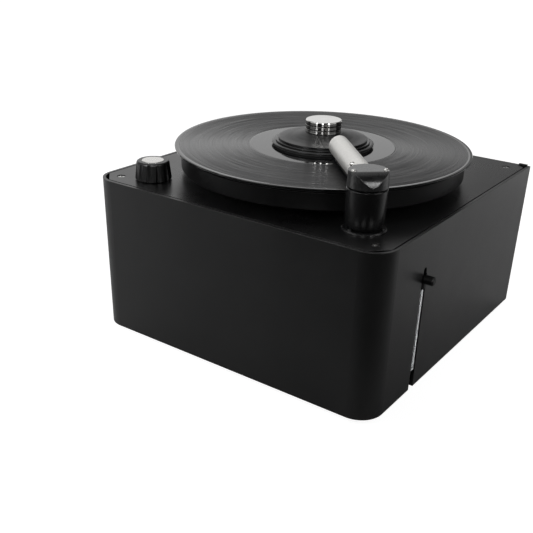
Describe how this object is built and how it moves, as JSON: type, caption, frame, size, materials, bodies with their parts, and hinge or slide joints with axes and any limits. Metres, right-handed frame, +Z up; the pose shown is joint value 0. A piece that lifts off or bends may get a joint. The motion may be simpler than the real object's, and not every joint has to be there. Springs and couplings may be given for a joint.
{
  "type": "record cleaning machine",
  "caption": "Record cleaning machine: square black casing with a turning platter under a clamped record, a swinging suction arm, a fluted selector knob and a clear drain hose.",
  "frame": {"origin": "on the floor, straight below the spindle's axis, which is the centre of the casing", "axes": "+X to the right as seen from the front, +Y towards the back, +Z up"},
  "size_m": [0.3403, 0.333, 0.219],
  "materials": {
    "casing_black": "satin black powder coat",
    "plate_black": "satin black coat",
    "zinc_steel": "zinc plated",
    "bright_steel": "ground",
    "black_screw": "black oxide",
    "foot_rubber": "matt",
    "black_plastic": "matt",
    "gloss_black": "gloss",
    "tank_plastic": "matt black",
    "cast_alloy": "as cast",
    "bronze": "sintered bronze",
    "motor_paint": "grey",
    "satin_alloy": "bead blasted and clear anodised",
    "black_alloy": "black anodised",
    "platter_black": "black painted",
    "mat_rubber": "ribbed matt",
    "vinyl": "grooved gloss",
    "chrome": "polished",
    "velvet": "pile",
    "silver_cap": "spun",
    "clear_hose": "clear flexible tube",
    "gear_plastic": "natural",
    "brass": "machined"
  },
  "bodies": {
    "casing": {"casing_wrap": "casing_black", "top_plate": "plate_black", "bottom_plate": "plate_black", "rear_panel": "casing_black", "corner_posts": "satin_alloy", "top_screws": "black_screw", "rubber_feet": "foot_rubber", "foot_screws": "zinc_steel", "pan_screws": "zinc_steel", "exhaust_grille": "black_plastic", "bearing_housing": "cast_alloy", "bearing_bushes": "bronze", "motor_bracket": "zinc_steel", "gearbox_housing": "cast_alloy", "motor_can": "motor_paint", "motor_capacitor": "satin_alloy", "fluid_tank": "tank_plastic", "tank_lid": "tank_plastic", "suction_pipe": "black_plastic", "air_hose": "foot_rubber", "fan_housing": "black_plastic", "vacuum_motor": "motor_paint", "drain_nozzle": "black_plastic", "post_flange": "black_alloy", "flange_screws": "black_screw", "arm_post": "black_alloy", "selector_switch": "black_plastic", "selector_nut": "zinc_steel", "inlet_body": "black_plastic", "inlet_pins": "bright_steel", "switch_frame": "black_plastic"},
    "platter": {"main_shaft": "bright_steel", "platter": "platter_black", "platter_mat": "mat_rubber", "vinyl_record": "vinyl", "platter_hub": "cast_alloy", "hub_screws": "zinc_steel", "drive_gear": "gear_plastic"},
    "motor_shaft": {"motor_pinion": "brass", "output_shaft": "bright_steel"},
    "clamp_disc": {"clamp_disc": "gloss_black", "clamp_seal": "foot_rubber"},
    "clamp_knob": {"clamp_knob": "chrome"},
    "impeller": {"impeller": "cast_alloy"},
    "arm_collar": {"swing_collar": "bronze"},
    "arm": {"lift_tube": "satin_alloy", "arm_head": "black_alloy", "arm_tube": "satin_alloy", "arm_end_cap": "satin_alloy", "slit_bar": "black_plastic", "velvet_lips": "velvet", "head_screws": "zinc_steel", "lift_spring": "bright_steel"},
    "selector": {"selector_shaft": "zinc_steel", "selector_knob": "gloss_black", "knob_cap": "silver_cap"},
    "rocker": {"power_rocker": "gloss_black"},
    "hose": {"drain_hose": "clear_hose", "hose_plug": "foot_rubber"}
  },
  "joints": [
    {"name": "platter_spin", "type": "hinge", "parent": "casing", "child": "platter", "pos_m": [0, 0, 0.17], "axis": [0, 0, 1], "continuous": true},
    {"name": "motor_spin", "type": "hinge", "parent": "casing", "child": "motor_shaft", "pos_m": [-0.06, 0, 0.1], "axis": [0, 0, 1], "continuous": true},
    {"name": "clamp_lift", "type": "slide", "parent": "platter", "child": "clamp_disc", "axis": [0, 0, 1], "range_m": [0, 0.014]},
    {"name": "clamp_turn", "type": "hinge", "parent": "clamp_disc", "child": "clamp_knob", "pos_m": [0, 0, 0.21], "axis": [0, 0, 1], "range_deg": [0, 5040]},
    {"name": "impeller_spin", "type": "hinge", "parent": "casing", "child": "impeller", "pos_m": [0.085, 0.105, 0.09], "axis": [0, 0, 1], "continuous": true},
    {"name": "arm_swing", "type": "hinge", "parent": "casing", "child": "arm_collar", "pos_m": [0.11922, -0.11922, 0.18], "axis": [0, 0, 1], "range_deg": [-105, 15]},
    {"name": "arm_lift", "type": "slide", "parent": "arm_collar", "child": "arm", "axis": [0, 0, 1], "range_m": [-0.0009, 0.01], "stiffness_N_per_m": 300, "springref_m": 0.0031, "deforming": ["lift_spring"]},
    {"name": "selector_turn", "type": "hinge", "parent": "casing", "child": "selector", "pos_m": [-0.1145, -0.1305, 0.17], "axis": [0, 0, 1], "range_deg": [-60, 60]},
    {"name": "rocker_tip", "type": "hinge", "parent": "casing", "child": "rocker", "pos_m": [-0.052, 0.16, 0.042], "axis": [0, 0, 1], "range_deg": [-22, 0]},
    {"name": "hose_swing", "type": "hinge", "parent": "casing", "child": "hose", "pos_m": [0.1628, -0.0849, 0.026], "axis": [0, 1, 0], "range_deg": [0, 95]}
  ],
  "couplings": [
    {"joint": "motor_spin", "follows": "platter_spin", "ratio": -2.3333},
    {"joint": "clamp_turn", "follows": "clamp_lift", "rad_per_m": 6283.2}
  ]
}
